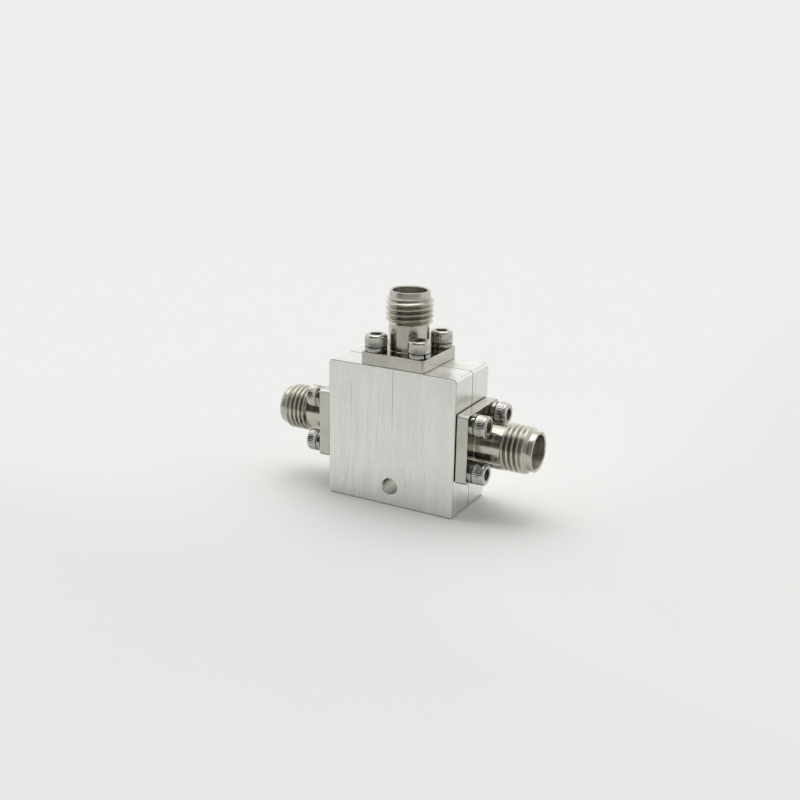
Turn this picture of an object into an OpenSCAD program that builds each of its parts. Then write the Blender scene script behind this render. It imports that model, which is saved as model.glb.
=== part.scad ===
// Radio-frequency mixer: a split metal block with three identical flanged coaxial jacks.
// Millimetres. +Z is up, -Y is the plain front face, +X is the right-hand jack.
// The origin is the centre of the block's bottom face.
// Each jack is drawn on its own axis: z = 0 on the block's face, +z out through the mouth.

/* [Housing] */
// Width of the block, from one side jack's seat to the other's
body_w = 19.05; // [17.6:0.05:30]
// Height of the block
body_h = 19.2; // [18.6:0.05:30]
// Radius of the block's four corners, seen from the front
corner_r = 0.5; // [0.2:0.1:1.2]
// How far the flanges stay behind the front and back faces
flange_setback = 0.175; // [0.1:0.025:3]
// Bevel around the front and back faces
edge_bevel = 0.06; // [0.05:0.01:0.15]
// Bevel of each half along the joint
joint_bevel = 0.06; // [0.03:0.01:0.12]
// Height of the side jacks' axes above the bottom face
side_jack_z = 9.8; // [9:0.05:10]
// Diameter of the mounting hole through both halves
mounting_hole_d = 2.26; // [1.6:0.02:3.2]
// Height of the mounting hole's axis above the bottom face
mounting_hole_z = 2.65; // [2:0.05:4]
// Bevel at both ends of the mounting hole
hole_bevel = 0.1; // [0.05:0.01:0.2]
// Thickness of the block's end walls, between a jack's seat and the channel
end_wall = 2.2; // [1.9:0.1:3]

/* [Jack flange] */
// Thickness of the flange
flange_t = 1.7; // [1.2:0.05:2.4]
// Radius of the flange's four corners
flange_corner_r = 0.4; // [0.25:0.05:1]
// Bevel around the flange's outer face
flange_bevel = 0.06; // [0.03:0.01:0.15]
// Bevel around the flange's seat
flange_back_bevel = 0.15; // [0.05:0.01:0.2]
// Metal left between a screw head and the flange's edge
flange_rim = 0; // [0:0.05:2]
// Space between a screw head and the barrel
head_to_barrel = 0.35; // [0.1:0.05:2]

/* [Jack barrel] */
// Length from the flange's outer face to the mouth
jack_len = 8; // [7:0.1:12]
// Bore at the mouth, which guides the mating plug
mouth_d = 4.65; // [4.2:0.01:6]
// Depth of the mouth, down to the plane where the two connectors meet
mouth_depth = 1.9; // [1.2:0.05:2.5]
// Wall between the mouth and the outside of the barrel
mouth_wall = 0.375; // [0.25:0.025:1]
// Height of the thread over the barrel
thread_depth = 0.475; // [0.3:0.025:0.8]
// Plain length in front of the thread
thread_start = 0.75; // [0.4:0.05:1.5]
// Length of the thread, with its two bevels
thread_len = 4; // [3:0.05:5]
// Bevel around the mouth
mouth_bevel = 0.1; // [0.02:0.01:0.15]
// Sloping foot of the barrel on the flange
barrel_foot = 0.15; // [0.05:0.05:0.3]

/* [Coaxial line] */
// Bore of the outer conductor
line_d = 2.92; // [2.4:0.01:3.5]
// Diameter of the centre contact
contact_d = 1.27; // [1:0.01:1.6]
// Distance of the contact's tip behind the meeting plane
contact_setback = 0.05; // [0:0.01:0.2]
// Bore of the contact's socket
socket_d = 0.93; // [0.7:0.01:1]
// Depth of the contact's socket
socket_depth = 2.3; // [1.5:0.1:3]
// Width of the socket's slots
slot_w = 0.2; // [0.1:0.05:0.3]
// Length of the socket's slots
slot_len = 1.9; // [1:0.1:2.5]
// Thinnest part of the contact, through the bead
neck_d = 0.87; // [0.7:0.01:0.9]
// Thickness of the support bead
bead_len = 1.2; // [0.8:0.1:2]
// Step between the outer conductor's bore and the bead's rim
bead_step = 0.34; // [0.2:0.02:0.5]
// Length of the bushing that holds the bead from behind
bushing_len = 1.5; // [1.3:0.1:2.2]
// Number of air holes in the bead
bead_holes = 6; // [4:1:6]
// Diameter of the air holes in the bead
bead_hole_d = 0.6; // [0.3:0.05:0.7]

/* [Glass seal] */
// Diameter of the seal's pin
pin_d = 0.3; // [0.23:0.01:0.45]
// Diameter of the glass
glass_d = 1.93; // [1.2:0.01:2.4]
// Wall of the seal's ring
seal_wall = 0.285; // [0.15:0.005:0.5]
// Length of the seal
seal_len = 1.5; // [1:0.1:1.8]
// Air bore around the pin, from the seal to the channel
air_line_d = 0.7; // [0.5:0.01:1.2]
// Length of pin that goes into the jack's tail
pin_out = 0.65; // [0.4:0.05:0.8]
// Length of pin that lies on the circuit
pin_in = 0.6; // [0.3:0.05:1]

/* [Fasteners] */
// Screw thread diameter
screw_d = 1.6; // [1.4:0.05:2]
// Diameter of the screw head
head_d = 3; // [2.6:0.05:3.8]
// Height of the screw head
head_h = 1.6; // [1.2:0.05:2]
// Radius around the top of the screw head
head_round = 0.35; // [0.1:0.05:0.5]
// Width across the flats of the hexagon socket
hex_af = 1.5; // [1.2:0.1:1.6]
// Depth of the hexagon socket
hex_depth = 0.85; // [0.5:0.05:1]
// Length of a flange screw below its head
jack_screw_len = 5; // [4:0.5:6]
// Thickness of a split lock washer
washer_t = 0.7; // [0.3:0.05:0.8]
// Gap in a split lock washer
washer_gap = 0.3; // [0.1:0.05:0.5]
// Length of a cover screw below its head
cover_screw_len = 6; // [5:0.5:7]
// How far the cover screws lie in from the block's sides, top and bottom
cover_screw_inset = 2.65; // [2.2:0.05:2.8]
// Diameter of the alignment pins
dowel_d = 1; // [0.8:0.1:1.2]
// Length of the alignment pins
dowel_len = 3; // [2:0.2:4]

/* [Circuit] */
// Width of the channel that holds the circuit
channel_w = 2.5; // [2:0.1:2.8]
// Air over the circuit, in the rear cover
lid_depth = 1.3; // [1:0.1:2]
// Thickness of the carrier plate
carrier_t = 0.25; // [0.15:0.05:0.5]
// Thickness of the ceramic lines
ceramic_t = 0.25; // [0.12:0.01:0.4]
// Thickness of the metal strips
strip_t = 0.02; // [0.01:0.01:0.04]
// Width of the metal strips
strip_w = 0.25; // [0.1:0.05:0.5]
// Side of the square mixer chip
chip_w = 1.5; // [1:0.1:2]
// Thickness of the mixer chip
chip_t = 0.1; // [0.1:0.01:0.2]
// Space between the chip and each ceramic line
chip_gap = 0.15; // [0.05:0.05:0.3]
// Overlap of each ribbon onto the chip and onto its strip
ribbon_lap = 0.2; // [0.1:0.05:0.3]
// Thickness of the absorber sheet
absorber_t = 0.5; // [0.3:0.1:0.8]

/* [Clearances] */
// Radial gap of pieces that are pressed, soldered or fused together
tight_gap = 0.01; // [0.005:0.005:0.02]
// Radial gap around pieces that slide in
slide_gap = 0.02; // [0.01:0.01:0.05]
// Radial gap of a screw in its clearance hole
screw_gap = 0.1; // [0.05:0.05:0.2]
// Radial gap around a sunk screw head
sink_gap = 0.12; // [0.1:0.02:0.2]
// Space between the end of a screw or pin and the bottom of its hole
hole_spare = 0.3; // [0.1:0.1:0.5]
// Gap between the circuit pieces and the channel's walls
channel_gap = 0.05; // [0.02:0.01:0.1]
// Depth of the cover screws' heads below the back face
head_sunk = 0.15; // [0:0.05:0.3]

/* [Hidden] */
$fn = 72;
PORTS = ["left", "top", "right"];
JACK_NODES = [
    "jack_body", "contact", "contact_tail", "support_bead", "rear_bushing",
    "seal_ring", "seal_glass", "seal_pin", "jack_screws", "lock_washers", "ceramic_line"
];

// Length by which a cutting shape passes the face it opens
over = 0.5;
// Angle of a drill's point
drill_angle = 118;
// Bevel at a screw's end
screw_bevel = 0.2;
// Radius of the barrel, and of the thread's crests
barrel_r = mouth_d/2 + mouth_wall;
thread_r = barrel_r + thread_depth;
// Circle of the screw axes, the square on which they stand, and the flange around it
screw_circle_r = barrel_r + head_to_barrel + head_d/2;
screw_pitch = screw_circle_r*sqrt(2);
flange_w = screw_pitch + head_d + 2*flange_rim;
// The block is as deep as its flanges need
body_d = flange_w + 2*flange_setback;
half_d = body_d/2;
// Levels along a jack's axis
mouth_z = flange_t + jack_len;
meeting_z = mouth_z - mouth_depth;
bead_z = bushing_len;
bead_front_z = bead_z + bead_len;
contact_tip_z = meeting_z - contact_setback;
// The contact's rear stub, and the tail that is pressed onto it
stub_d = 0.6;
stub_len = 0.6;
tail_z = 0.15;
tail_socket_len = pin_out - tail_z + 0.05;
bead_d = line_d + 2*bead_step;
seal_d = glass_d + 2*seal_wall;
// Depth of the tapped holes
jack_tap_depth = jack_screw_len - flange_t - washer_t + hole_spare;
cover_grip = half_d - head_h - head_sunk;
cover_tap_depth = cover_screw_len - cover_grip + hole_spare;
// Levels of the circuit in front of the joint between the halves: the pins lie on the strips
strip_y = pin_d/2;
ceramic_y = strip_y + strip_t;
carrier_y = ceramic_y + ceramic_t;
floor_y = carrier_y + carrier_t;
// Ends of the channel
channel_x = body_w/2 - end_wall;
channel_top = body_h - end_wall;
line_w = channel_w - 2*channel_gap;
// Places of the cover screws and of the alignment pins, seen from the front
cover_x = body_w/2 - cover_screw_inset;
cover_z = [cover_screw_inset, body_h - cover_screw_inset];
dowel_side_inset = 4.3;
dowel_end_inset = 4.6;
dowel_x = body_w/2 - dowel_side_inset;
dowel_z = [dowel_end_inset, body_h - dowel_end_inset];
// Direction of the first washer's gap, and the turn from each washer to the next
first_gap_angle = -33;
gap_turn = 80;

ALUMINIUM = "#c6c6c2";
STEEL = "#b4b1a6";
SCREW_STEEL = "#9b9a94";
GOLD = "#d9b25a";
CERAMIC = "#eeeae0";
GLASS = "#5d7f95";
PLASTIC = "#d9cfa8";
ABSORBER = "#3b3b3d";

// Puts a shape on a port's axis
module on_port(port) {
    if (port == "left") translate([-body_w/2, 0, side_jack_z]) rotate([0, -90, 0]) children();
    if (port == "right") translate([body_w/2, 0, side_jack_z]) rotate([0, 90, 0]) children();
    if (port == "top") translate([0, 0, body_h]) children();
}

// Repeats a shape at the four screws of a flange
module at_flange_screws() {
    for (x = [-1, 1], y = [-1, 1])
        translate([x*screw_pitch/2, y*screw_pitch/2, 0]) children();
}

// Repeats a shape at the four cover screws, with +z out of the back face
module at_cover_screws() {
    for (x = [-cover_x, cover_x], z = cover_z)
        translate([x, half_d, z]) rotate([-90, 0, 0]) children();
}

// Repeats a shape at the two alignment pins, with z = 0 at the joint between the halves
module at_dowels() {
    for (side = [0, 1])
        translate([(2*side - 1)*dowel_x, 0, dowel_z[side]]) rotate([-90, 0, 0]) children();
}

// Section across a plate: its faces are at y = 0 and y = t, each with its own bevel
module plate_section(w, t, low_bevel, high_bevel) {
    half = w/2;
    polygon([
        [low_bevel - half, 0],
        [half - low_bevel, 0],
        [half, low_bevel],
        [half, t - high_bevel],
        [half - high_bevel, t],
        [high_bevel - half, t],
        [-half, t - high_bevel],
        [-half, low_bevel]
    ]);
}

// Plate with rounded corners around the z axis, from z = 0 to z = t, bevelled around both faces
module bevelled_plate(w, h, r, t, low_bevel, high_bevel) {
    rotate([90, 0, 0]) linear_extrude(height = h - 2*r, center = true)
        plate_section(w, t, low_bevel, high_bevel);
    rotate([90, 0, 90]) linear_extrude(height = w - 2*r, center = true)
        plate_section(h, t, low_bevel, high_bevel);
    for (x = [-1, 1], y = [-1, 1])
        translate([x*(w/2 - r), y*(h/2 - r), 0]) rotate_extrude() polygon([
            [0, 0],
            [r - low_bevel, 0],
            [r, low_bevel],
            [r, t - high_bevel],
            [r - high_bevel, t],
            [0, t]
        ]);
}

// Extrudes an outline of the X-Z plane from one Y to another
module plate(y_from, y_to) {
    translate([0, y_to, 0]) rotate([90, 0, 0]) linear_extrude(height = y_to - y_from) children();
}

// Hole with a drill's conical bottom: its mouth is at z = 0 and it goes down
module drilled_hole(d, depth) {
    point = d/2/tan(drill_angle/2);
    rotate_extrude() polygon([
        [0, -depth - point],
        [d/2, -depth],
        [d/2, over],
        [0, over]
    ]);
}

// Socket-head screw: its head stands on z = 0
module cap_screw(length) {
    difference() {
        union() {
            rotate_extrude() {
                square([head_d/2 - head_round, head_h]);
                square([head_d/2, head_h - head_round]);
                translate([head_d/2 - head_round, head_h - head_round]) circle(r = head_round);
            }
            rotate_extrude() polygon([
                [0, -length],
                [screw_d/2 - screw_bevel, -length],
                [screw_d/2, -length + screw_bevel],
                [screw_d/2, 0],
                [0, 0]
            ]);
        }
        translate([0, 0, head_h - hex_depth])
            cylinder(d = hex_af/cos(30), h = hex_depth + over, $fn = 6);
    }
}

// Split ring under a screw head: the ends are cut on a slant
module lock_washer(gap_angle) {
    slant = 12;
    difference() {
        cylinder(d = head_d, h = washer_t);
        translate([0, 0, -over]) cylinder(d = screw_d + 2*screw_gap, h = washer_t + 2*over);
        rotate([0, 0, gap_angle])
            translate([head_d/2, 0, washer_t/2])
                rotate([slant, 0, 0])
                    cube([head_d, washer_gap, washer_t + 2*over], center = true);
    }
}

// Channel of the circuit, seen from the front: across between the side jacks, and up to the top one
module channel_outline() {
    translate([-channel_x, side_jack_z - channel_w/2]) square([2*channel_x, channel_w]);
    translate([-channel_w/2, side_jack_z]) square([channel_w, channel_top - side_jack_z]);
}

// All that is cut into the block for one jack
module port_cut() {
    seat_r = seal_d/2 + tight_gap;
    rotate_extrude() polygon([
        [0, -end_wall - over],
        [air_line_d/2, -end_wall - over],
        [air_line_d/2, -seal_len],
        [seat_r, -seal_len],
        [seat_r, over],
        [0, over]
    ]);
    at_flange_screws() drilled_hole(screw_d + 2*slide_gap, jack_tap_depth);
}

// Hole through both halves from front to back, bevelled at both ends
module mounting_hole_cut() {
    hole_r = mounting_hole_d/2;
    wide_r = hole_r + hole_bevel + over;
    translate([0, 0, mounting_hole_z]) rotate([90, 0, 0]) rotate_extrude() polygon([
        [0, -half_d - over],
        [wide_r, -half_d - over],
        [hole_r, hole_bevel - half_d],
        [hole_r, half_d - hole_bevel],
        [wide_r, half_d + over],
        [0, half_d + over]
    ]);
}

// What both halves of the block share: y_to is the half's rear face, and the bevels are its rear and front ones
module block_half(y_to, rear_bevel, front_bevel) {
    difference() {
        translate([0, y_to, body_h/2]) rotate([90, 0, 0])
            bevelled_plate(body_w, body_h, corner_r, half_d, rear_bevel, front_bevel);
        for (port = PORTS) on_port(port) port_cut();
        mounting_hole_cut();
        at_dowels()
            cylinder(d = dowel_d + 2*slide_gap, h = dowel_len + 2*hole_spare, center = true);
    }
}

// Front half: it carries the circuit and takes the cover screws
module front_housing() {
    color(ALUMINIUM) difference() {
        block_half(0, joint_bevel, edge_bevel);
        plate(-floor_y, over) channel_outline();
        at_cover_screws() translate([0, 0, -half_d]) drilled_hole(screw_d + 2*slide_gap, cover_tap_depth);
    }
}

// Rear half: it closes the channel and is held by the cover screws
module rear_cover() {
    color(ALUMINIUM) difference() {
        block_half(half_d, edge_bevel, joint_bevel);
        plate(-over, lid_depth) channel_outline();
        at_cover_screws() {
            translate([0, 0, -half_d - over])
                cylinder(d = screw_d + 2*screw_gap, h = half_d + 2*over);
            translate([0, 0, -head_h - head_sunk])
                cylinder(d = head_d + 2*sink_gap, h = head_h + head_sunk + over);
        }
    }
}

module cover_screws() {
    color(SCREW_STEEL) at_cover_screws()
        translate([0, 0, -head_h - head_sunk]) cap_screw(cover_screw_len);
}

module alignment_pins() {
    color(SCREW_STEEL) at_dowels() cylinder(d = dowel_d, h = dowel_len, center = true);
}

// T-shaped plate under the circuit, with a raised seat for the chip
module carrier_plate() {
    seat_y = strip_y + chip_t;
    reach = channel_x - channel_gap;
    color(GOLD) {
        plate(-floor_y, -carrier_y) {
            translate([-reach, side_jack_z - line_w/2]) square([2*reach, line_w]);
            translate([-line_w/2, side_jack_z]) square([line_w, channel_top - channel_gap - side_jack_z]);
        }
        plate(-carrier_y, -seat_y) translate([0, side_jack_z]) square(chip_w, center = true);
    }
}

// Where a ceramic line starts and ends, measured from the chip's middle: the top one clears the side ones
function line_start(port) = port == "top" ? line_w/2 + channel_gap : chip_w/2 + chip_gap;
function line_end(port) = (port == "top" ? channel_top - side_jack_z : channel_x) - channel_gap;
function line_len(port) = line_end(port) - line_start(port);

// Puts a shape in the circuit: its +y runs from the chip's middle out towards the port
module in_circuit(port) {
    turn = port == "top" ? 0 : port == "left" ? 90 : -90;
    translate([0, side_jack_z]) rotate(turn) children();
}

module ceramic_line(port) {
    color(CERAMIC) plate(-carrier_y, -ceramic_y)
        in_circuit(port) translate([-line_w/2, line_start(port)]) square([line_w, line_len(port)]);
}

module metal_strips() {
    color(GOLD) plate(-ceramic_y, -strip_y)
        for (port = PORTS)
            in_circuit(port) translate([-strip_w/2, line_start(port)]) square([strip_w, line_len(port)]);
}

module mixer_chip() {
    color("#4a4e57") plate(-strip_y - chip_t, -strip_y)
        translate([0, side_jack_z]) square(chip_w, center = true);
}

module bond_ribbons() {
    ribbon_start = chip_w/2 - ribbon_lap;
    color(GOLD) plate(-strip_y, -strip_y + strip_t)
        for (port = PORTS)
            in_circuit(port) translate([-strip_w/2, ribbon_start])
                square([strip_w, line_start(port) + ribbon_lap - ribbon_start]);
}

module absorber_sheet() {
    reach = channel_x - end_wall;
    color(ABSORBER) plate(lid_depth - absorber_t, lid_depth)
        translate([-reach, side_jack_z - line_w/2]) square([2*reach, line_w]);
}

// Outside of the barrel, from the flange to the mouth, as a half outline
module barrel_outline() {
    thread_front = mouth_z - thread_start;
    thread_back = thread_front - thread_len;
    polygon([
        [0, flange_t],
        [barrel_r + barrel_foot, flange_t],
        [barrel_r, flange_t + barrel_foot],
        [barrel_r, thread_back],
        [thread_r, thread_back + thread_depth],
        [thread_r, thread_front - thread_depth],
        [barrel_r, thread_front],
        [barrel_r, mouth_z - mouth_bevel],
        [barrel_r - mouth_bevel, mouth_z],
        [0, mouth_z]
    ]);
}

// Flange and barrel, turned and milled from one bar
module jack_body() {
    lead_in = mouth_bevel;
    color(STEEL) difference() {
        union() {
            bevelled_plate(
                flange_w, flange_w, flange_corner_r, flange_t, flange_back_bevel, flange_bevel
            );
            rotate_extrude() barrel_outline();
        }
        translate([0, 0, meeting_z]) cylinder(d = mouth_d, h = mouth_depth + over);
        translate([0, 0, mouth_z - lead_in])
            cylinder(d1 = mouth_d, d2 = mouth_d + 2*lead_in, h = lead_in);
        translate([0, 0, -over]) cylinder(d = line_d, h = mouth_z);
        translate([0, 0, -over]) cylinder(d = bead_d + 2*tight_gap, h = bead_front_z + over);
        at_flange_screws() translate([0, 0, -over])
            cylinder(d = screw_d + 2*screw_gap, h = flange_t + 2*over);
    }
}

// Centre contact: a slotted socket, a neck through the bead and a stub behind it
module contact() {
    drill_point = socket_d/2/tan(drill_angle/2);
    socket_z = contact_tip_z - socket_depth;
    tip_bevel = 0.06;
    color(GOLD) difference() {
        rotate_extrude() polygon([
            [0, bead_z - stub_len],
            [stub_d/2, bead_z - stub_len],
            [stub_d/2, bead_z],
            [neck_d/2, bead_z],
            [neck_d/2, bead_front_z],
            [contact_d/2, bead_front_z],
            [contact_d/2, contact_tip_z - tip_bevel],
            [contact_d/2 - tip_bevel, contact_tip_z],
            [socket_d/2, contact_tip_z],
            [socket_d/2, socket_z],
            [0, socket_z - drill_point]
        ]);
        for (turn = [0, 90]) rotate([0, 0, turn])
            translate([-contact_d, -slot_w/2, contact_tip_z - slot_len])
                cube([2*contact_d, slot_w, slot_len + over]);
    }
}

// Rear end of the contact: it takes the stub in front and the seal's pin behind
module contact_tail() {
    color(GOLD) difference() {
        translate([0, 0, tail_z]) cylinder(d = contact_d, h = bead_z - tail_z);
        translate([0, 0, bead_z - stub_len]) cylinder(d = stub_d + 2*tight_gap, h = stub_len + over);
        translate([0, 0, tail_z - over])
            cylinder(d = pin_d + 2*slide_gap, h = tail_socket_len + over);
    }
}

module support_bead() {
    hole_circle_r = (neck_d + bead_d)/4;
    color(PLASTIC) translate([0, 0, bead_z]) difference() {
        cylinder(d = bead_d, h = bead_len);
        translate([0, 0, -over]) cylinder(d = neck_d + 2*tight_gap, h = bead_len + 2*over);
        for (i = [0 : bead_holes - 1]) rotate([0, 0, i*360/bead_holes])
            translate([hole_circle_r, 0, -over]) cylinder(d = bead_hole_d, h = bead_len + 2*over);
    }
}

module ring(outer_d, inner_d, z, length) {
    translate([0, 0, z]) difference() {
        cylinder(d = outer_d, h = length);
        translate([0, 0, -over]) cylinder(d = inner_d, h = length + 2*over);
    }
}

module rear_bushing() {
    color(STEEL) ring(bead_d, line_d, 0, bushing_len);
}

module seal_ring() {
    color(GOLD) ring(seal_d, glass_d, -seal_len, seal_len);
}

module seal_glass() {
    color(GLASS) ring(glass_d - 2*tight_gap, pin_d + 2*tight_gap, -seal_len, seal_len);
}

module seal_pin() {
    back = end_wall + channel_gap + pin_in;
    color(GOLD) translate([0, 0, -back]) cylinder(d = pin_d, h = back + pin_out);
}

module jack_screws() {
    color(SCREW_STEEL) at_flange_screws()
        translate([0, 0, flange_t + washer_t]) cap_screw(jack_screw_len);
}

module lock_washers() {
    color(SCREW_STEEL) for (i = [0 : 3]) {
        x = i == 0 || i == 1 ? 1 : -1;
        y = i == 0 || i == 3 ? -1 : 1;
        translate([x*screw_pitch/2, y*screw_pitch/2, flange_t])
            lock_washer(first_gap_angle + i*gap_turn);
    }
}

front_housing();
rear_cover();
cover_screws();
alignment_pins();
carrier_plate();
metal_strips();
mixer_chip();
bond_ribbons();
absorber_sheet();
for (port = PORTS) {
    on_port(port) jack_body();
    on_port(port) contact();
    on_port(port) contact_tail();
    on_port(port) support_bead();
    on_port(port) rear_bushing();
    on_port(port) seal_ring();
    on_port(port) seal_glass();
    on_port(port) seal_pin();
    on_port(port) jack_screws();
    on_port(port) lock_washers();
    ceramic_line(port);
}
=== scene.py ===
"""Radio-frequency mixer: looks for the split metal block and its three flanged coaxial jacks.

Metres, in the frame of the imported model: +Z up, -Y out of the plain front face, +X out of the
right-hand jack. Jack pieces are meshed on their own axis (z = 0 on the block's face, +z out through
the mouth) and put on the three ports, so their textures follow the jack and not the block.
"""
import math

import bmesh
import bpy
from mathutils import Matrix, Vector


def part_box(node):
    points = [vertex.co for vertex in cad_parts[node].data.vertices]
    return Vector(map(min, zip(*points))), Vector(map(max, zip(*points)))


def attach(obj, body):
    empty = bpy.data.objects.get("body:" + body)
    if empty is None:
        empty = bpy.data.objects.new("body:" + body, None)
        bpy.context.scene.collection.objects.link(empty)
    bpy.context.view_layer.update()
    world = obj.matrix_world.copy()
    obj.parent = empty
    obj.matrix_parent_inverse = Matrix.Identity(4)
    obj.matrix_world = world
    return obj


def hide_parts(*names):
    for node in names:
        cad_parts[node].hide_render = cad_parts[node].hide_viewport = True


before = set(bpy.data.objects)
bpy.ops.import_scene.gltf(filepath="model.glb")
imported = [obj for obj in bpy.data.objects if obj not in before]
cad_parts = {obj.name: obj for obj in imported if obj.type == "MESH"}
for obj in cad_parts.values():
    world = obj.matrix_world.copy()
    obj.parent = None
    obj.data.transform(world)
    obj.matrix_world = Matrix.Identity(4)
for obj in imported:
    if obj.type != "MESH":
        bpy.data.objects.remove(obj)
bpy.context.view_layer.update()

MM = 0.001
PORTS = ("left", "top", "right")
MERGE_WITHIN = 0.0005 * MM

# Sizes that the frame gives
block_low, block_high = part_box("front_housing")
BODY_W = block_high.x - block_low.x
BODY_H = block_high.z - block_low.z
HALF_D = -block_low.y
jack_low, jack_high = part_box("top_jack_body")
FLANGE_W = jack_high.x - jack_low.x
MOUTH_Z = jack_high.z - BODY_H
SIDE_JACK_Z = sum(corner.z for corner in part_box("right_jack_body")) / 2
washer_low, washer_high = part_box("top_lock_washers")
FLANGE_T = washer_low.z - BODY_H
WASHER_T = washer_high.z - washer_low.z
screw_low, screw_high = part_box("top_jack_screws")
HEAD_H = screw_high.z - washer_high.z
JACK_SCREW_LEN = washer_high.z - screw_low.z
HEAD_R = 1.5 * MM
SCREW_PITCH = screw_high.x - screw_low.x - 2 * HEAD_R
cover_low, cover_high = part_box("cover_screws")
COVER_X = cover_high.x - HEAD_R
COVER_Z = (cover_low.z + HEAD_R, cover_high.z - HEAD_R)
COVER_HEAD_Y = cover_high.y - HEAD_H
COVER_SCREW_LEN = COVER_HEAD_Y - cover_low.y

# Mounting hole
HOLE_Z = 2.65 * MM
HOLE_R = 1.13 * MM

# Flange
FLANGE_CORNER_R = 0.4 * MM
FLANGE_LEAST_R = 0.1 * MM
FLANGE_BREAK = 0.06 * MM
FLANGE_BACK_BREAK = {"left": 0.15 * MM, "top": 0.06 * MM, "right": 0.15 * MM}
CORNER_STEPS = 7
FLANGE_HOLE_R = 0.9 * MM
HOLE_BREAK = 0.05 * MM
HOLE_STEPS = 32

# Barrel and its bores. Each thread has its own phase, and the side jacks keep a plain land in front
BARREL_STEPS = 96
BARREL_R = 2.7 * MM
BARREL_FOOT = 0.15 * MM
THREAD_R = 3.175 * MM
THREAD_ROOT_R = 2.76 * MM
THREAD_PITCH = 25.4 / 36 * MM
THREAD_CREST_ROUND = 0.13 * MM
THREAD_START = 0.75 * MM
THREAD_LEN = 3.65 * MM
THREAD_PHASE = {"left": 0.15 * MM, "top": 0.53 * MM, "right": 0.23 * MM}
THREAD_UNCUT = {"left": 0.7 * MM, "top": 0, "right": 0.7 * MM}
THREAD_FRONT = MOUTH_Z - THREAD_START
THREAD_BACK = THREAD_FRONT - THREAD_LEN
SHOULDER_SLOPE = 2.5
LAND_SLOPE = 2
MOUTH_R = 2.325 * MM
MOUTH_BEVEL = 0.1 * MM
MOUTH_DEPTH = 1.9 * MM
LINE_R = 1.46 * MM
BEAD_R = 1.81 * MM
BEAD_FRONT_Z = 2.7 * MM

# Screws and washers
HEAD_STEPS = 144
KNURL_TEETH = 36
KNURL_DEPTH = 0.06 * MM
HEAD_ROUND = 0.35 * MM
HEAD_FOOT = 0.1 * MM
HEX_AF = 1.5 * MM
HEX_DEPTH = 0.85 * MM
HEX_BEVEL = 0.05 * MM
HEX_POINT = 0.3 * MM
HEX_POINT_R = 0.05 * MM
SHANK_STEPS = 36
SHANK_R = 0.8 * MM
SHANK_ROOT_R = 0.6 * MM
SHANK_PITCH = 0.35 * MM
SHANK_BEVEL = 0.2 * MM
WASHER_HOLE_R = 0.9 * MM
WASHER_GAP = 0.3 * MM
WASHER_SLANT = math.radians(12)
WASHER_ROUND = 0.1 * MM
WASHER_STEPS = 72
FIRST_GAP_ANGLE = math.radians(-33)
GAP_TURN = math.radians(80)
HEX_TURN = math.radians(37)
JACK_TURN = math.radians(23)

# Wear of the block: smoother to the right in front, one long scratch; and darker on the left of the top
WORN_SPAN = (-6 * MM, 8 * MM)
TOP_DARKER_SPAN = (-6 * MM, 5 * MM)
SCRATCH_X = 0.31 * MM
SCRATCH_HALF_W = 0.05 * MM
SCRATCH_ENDS = (10.5 * MM, 15.5 * MM)

# Dark lines of the block, each from full shade to none, and where its broken edges show most;
# the lines of the foot and of the broken edges are painted shade
FOOT_LINE = (0.06 * MM, 0.2 * MM)
JOINT_LINE = (0.05 * MM, 0.08 * MM)
WIDER_JOINT = 0.04 * MM
WIDE_JOINT_TOP = (1 * MM, 1.3 * MM)
PAST_FLANGE = (4.6 * MM, 4.8 * MM)
NEAR_SIDES = (9 * MM, 9.2 * MM)

# Painted shade in the threads of the jacks
THREAD_SHADE_LEAD = 0.6 * MM
THREAD_SHADE_FADE = (THREAD_FRONT - 1.6 * MM, THREAD_FRONT - 0.9 * MM)
ROOT_SHADE_DEPTH = 0.19 * MM
UNSHADED_CREST = 0.05 * MM
LIP_FADE = 0.3 * MM

# Painted shade of the flanges' seat line, along x in the world: where it turns dark, where it widens and
# its width
SEAT_DARK_FROM = (4.5 * MM, 4.7 * MM)
SEAT_WIDER_FROM = (5 * MM, 9 * MM)
SEAT_LINE = (0.03 * MM, 0.16 * MM)
SEAT_FADE = 0.06 * MM

# Colours of the metals and of their dark places. A pair is what a texture wanders between
ALUMINIUM_GRAIN = ((0.67, 0.665, 0.63), (0.91, 0.905, 0.875))
ALUMINIUM_STREAK = (0.33, 0.325, 0.30)
ALUMINIUM_TOP_DARKER = (0.62, 0.62, 0.6)
ALUMINIUM_SCRATCH = (0.2, 0.198, 0.18)
ALUMINIUM_BORE = (0.84, 0.845, 0.81)
ALUMINIUM_EDGE_SHADE = (0.22, 0.218, 0.2)
FOOT_SHADE = (0.05, 0.05, 0.047)
JOINT_DARK = (0.03, 0.03, 0.028)
SEAM_SHADE = (0.03, 0.03, 0.025)
JACK_TURNED = ((0.50, 0.48, 0.41), (0.56, 0.545, 0.475))
JACK_CREST_HIGHLIGHT = (0.70, 0.665, 0.60)
JACK_LIP = (0.51, 0.475, 0.435)
JACK_THREAD_SHADE = (0.18, 0.165, 0.125)
JACK_FLANGE_FACE = (0.30, 0.285, 0.24)
JACK_MILLED = ((0.51, 0.50, 0.44), (0.58, 0.57, 0.515))
JACK_CORNER_HIGHLIGHT = (0.86, 0.85, 0.8)
JACK_CORNER_SHADE = (0.04, 0.04, 0.035)
JACK_BORED = ((0.50, 0.495, 0.45), (0.53, 0.525, 0.48))
STEEL = ((0.46, 0.45, 0.41), (0.58, 0.57, 0.53))
STEEL_KNURL_SHADE = (0.10, 0.095, 0.08)
STEEL_BARREL_SIDE_SHADE = (0.12, 0.11, 0.09)
STEEL_WASHER_SHADE = (0.14, 0.135, 0.11)
SOCKET_TONES = ((0.36, 0.34, 0.31), (0.50, 0.475, 0.44))
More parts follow.
